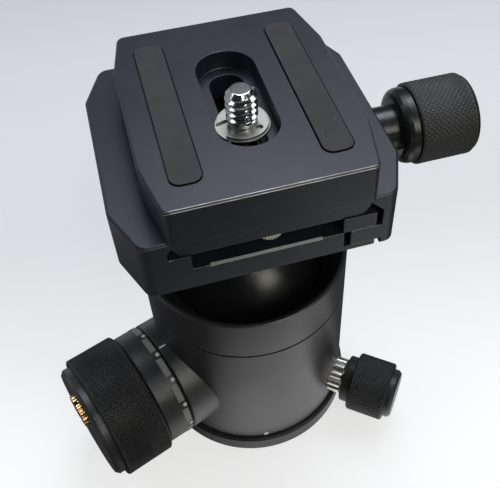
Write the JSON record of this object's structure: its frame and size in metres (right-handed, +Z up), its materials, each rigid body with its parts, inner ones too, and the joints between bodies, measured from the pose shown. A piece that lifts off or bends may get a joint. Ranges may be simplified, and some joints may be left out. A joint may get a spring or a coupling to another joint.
{
  "type": "tripod ball head",
  "caption": "Ball head for a tripod with separate pan and ball locks, a tension wheel and a screw-operated dovetail clamp holding a camera plate.",
  "frame": {"origin": "centre of the mouth of the tripod thread, in the plane that the base stands on", "axes": "+Z up along the body, +X towards the clamp knob, +Y to the back, along the dovetail"},
  "size_m": [0.1028, 0.0604, 0.1055],
  "materials": {
    "housing_black": "fine satin black anodised, turned",
    "clamp_black": "satin black anodised, bead blasted",
    "plate_black": "satin black anodised, bead blasted",
    "knob_black": "black anodised, diamond knurled",
    "cap_black": "black anodised, smooth turned",
    "ball_black": "polished hard black anodised",
    "rubber_grey": "matt moulded rubber",
    "liner_polymer": "low friction polymer",
    "screw_steel": "turned stainless steel",
    "bright_chrome": "bright plated, turned",
    "wheel_brass": "turned brass, worn bright on its edge",
    "mark_white": "white paint fill"
  },
  "bodies": {
    "base": {"base_plate": "housing_black", "pan_washer": "liner_polymer", "pan_retainer": "screw_steel", "retainer_screw": "screw_steel"},
    "housing": {"housing": "housing_black", "top_collar": "housing_black", "seat_liner": "liner_polymer", "pan_index_dot": "mark_white", "knob_index_tick": "mark_white", "wedge_block": "wheel_brass", "brake_shoe": "wheel_brass", "pan_collar": "bright_chrome"},
    "lower_cup": {"lower_cup": "liner_polymer"},
    "ball": {"ball": "ball_black"},
    "clamp": {"neck": "ball_black", "clamp_base": "clamp_black", "clamp_mount_screw": "screw_steel", "guide_pins": "screw_steel"},
    "moving_jaw": {"moving_jaw": "clamp_black"},
    "clamp_knob": {"clamp_screw": "screw_steel", "clamp_knob_stem": "cap_black", "clamp_knob": "knob_black", "clamp_knob_cap": "cap_black"},
    "plate": {"qr_plate": "plate_black", "pad_left": "rubber_grey", "pad_right": "rubber_grey", "stop_screws": "screw_steel"},
    "screw_clip": {"e_clip": "bright_chrome", "clip_washer": "bright_chrome"},
    "camera_screw": {"camera_screw": "bright_chrome"},
    "main_knob": {"main_lock_screw": "screw_steel", "main_knob": "knob_black", "main_knob_cap": "cap_black", "scale_ring": "cap_black", "scale_marks": "mark_white"},
    "tension_wheel": {"tension_wheel": "wheel_brass"},
    "pan_knob": {"pan_lock_screw": "screw_steel", "pan_knob": "knob_black", "pan_knob_cap": "cap_black"}
  },
  "joints": [
    {"name": "pan", "type": "hinge", "parent": "base", "child": "housing", "pos_m": [0, 0, 0.00542], "axis": [0, 0, 1], "continuous": true},
    {"name": "ball_swivel", "type": "hinge", "parent": "housing", "child": "lower_cup", "pos_m": [0, 0, 0.0455], "axis": [0, 0, 1], "continuous": true},
    {"name": "ball_tilt", "type": "hinge", "parent": "lower_cup", "child": "ball", "pos_m": [0, 0, 0.0455], "axis": [1, 0, 0], "range_deg": [-38, 38]},
    {"name": "head_turn", "type": "hinge", "parent": "ball", "child": "clamp", "pos_m": [0, 0, 0.0455], "axis": [0, 0, 1], "continuous": true},
    {"name": "jaw_slide", "type": "slide", "parent": "clamp", "child": "moving_jaw", "axis": [1, 0, 0], "range_m": [0, 0.004]},
    {"name": "clamp_knob_turn", "type": "hinge", "parent": "moving_jaw", "child": "clamp_knob", "pos_m": [0.0297, 0, 0.0835], "axis": [1, 0, 0], "range_deg": [0, 1440]},
    {"name": "plate_slide", "type": "slide", "parent": "clamp", "child": "plate", "axis": [0, 1, 0], "range_m": [-0.0065, 0.0065]},
    {"name": "screw_slide", "type": "slide", "parent": "plate", "child": "screw_clip", "axis": [0, 1, 0], "range_m": [-0.005, 0.013]},
    {"name": "screw_turn", "type": "hinge", "parent": "screw_clip", "child": "camera_screw", "pos_m": [0.0009, -0.004, 0.0968], "axis": [0, 0, 1], "continuous": true},
    {"name": "main_lock_turn", "type": "hinge", "parent": "housing", "child": "main_knob", "pos_m": [-0.02575, -0.00937, 0.02207], "axis": [-0.9397, -0.342, 0], "range_deg": [0, 270]},
    {"name": "tension_turn", "type": "hinge", "parent": "main_knob", "child": "tension_wheel", "pos_m": [-0.0437, -0.0159, 0.02947], "axis": [-0.9397, -0.342, 0], "range_deg": [0, 300]},
    {"name": "pan_lock_turn", "type": "hinge", "parent": "housing", "child": "pan_knob", "pos_m": [0.02191, -0.01743, 0.01152], "axis": [0.7826, -0.6225, 0], "range_deg": [0, 360]}
  ],
  "couplings": [
    {"joint": "clamp_knob_turn", "follows": "jaw_slide", "rad_per_m": 6283}
  ]
}
